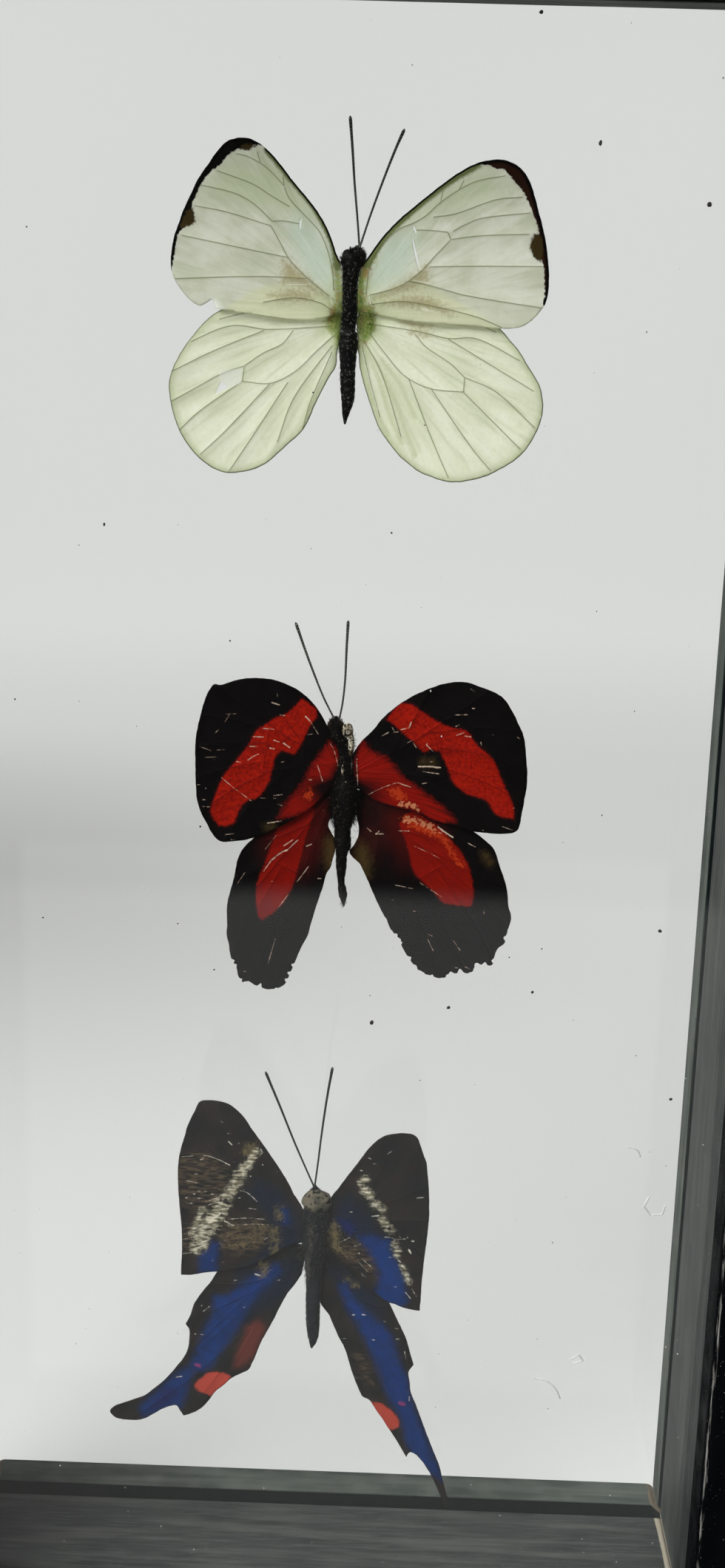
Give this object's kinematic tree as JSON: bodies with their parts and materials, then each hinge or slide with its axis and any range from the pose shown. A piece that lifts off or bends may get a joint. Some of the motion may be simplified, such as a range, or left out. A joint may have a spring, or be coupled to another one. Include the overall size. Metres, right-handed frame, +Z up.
{
  "type": "framed butterfly display box",
  "caption": "Upright deep black wooden box frame with clear panes front and back, holding spread butterflies in a column on clear stand-offs, for standing on a shelf.",
  "frame": {"origin": "middle of the bottom face, on the surface that the box stands on", "axes": "+Z up along the box's height, +X to the right seen from the front, +Y from the front pane to the back pane"},
  "size_m": [0.166, 0.052, 0.312],
  "materials": {
    "black_paint": "black satin paint over wood, with faint grain and dust",
    "liner_grey": "dusty grey-green painted board, matt",
    "pane_glass": "clear polished float glass with a greenish edge",
    "insect_fur": "dark hairy insect body",
    "insect_horn": "dark dry horn-like feeler",
    "clear_resin": "clear cast resin post",
    "white_wing": "thin matt greenish-white wing scales with dark margins",
    "red_wing": "velvety black wing scales with brick-red bands",
    "blue_wing": "brown-black wing scales with satin blue bands and red spots"
  },
  "bodies": {
    "root": {"rail_left": "black_paint", "rail_right": "black_paint", "rail_bottom": "black_paint", "rail_top": "black_paint", "liner_left": "liner_grey", "liner_right": "liner_grey", "liner_bottom": "liner_grey", "liner_top": "liner_grey", "back_strip_left": "black_paint", "back_strip_right": "black_paint", "back_strip_bottom": "black_paint", "back_strip_top": "black_paint", "front_pane": "pane_glass", "back_pane": "pane_glass", "white_body": "insect_fur", "white_forewing_left": "white_wing", "white_forewing_right": "white_wing", "white_hindwing_left": "white_wing", "white_hindwing_right": "white_wing", "white_antenna_left": "insect_horn", "white_antenna_right": "insect_horn", "white_stand_off": "clear_resin", "red_body": "insect_fur", "red_forewing_left": "red_wing", "red_forewing_right": "red_wing", "red_hindwing_left": "red_wing", "red_hindwing_right": "red_wing", "red_antenna_left": "insect_horn", "red_antenna_right": "insect_horn", "red_stand_off": "clear_resin", "blue_body": "insect_fur", "blue_forewing_left": "blue_wing", "blue_forewing_right": "blue_wing", "blue_hindwing_left": "blue_wing", "blue_hindwing_right": "blue_wing", "blue_antenna_left": "insect_horn", "blue_antenna_right": "insect_horn", "blue_stand_off": "clear_resin"}
  },
  "joints": []
}
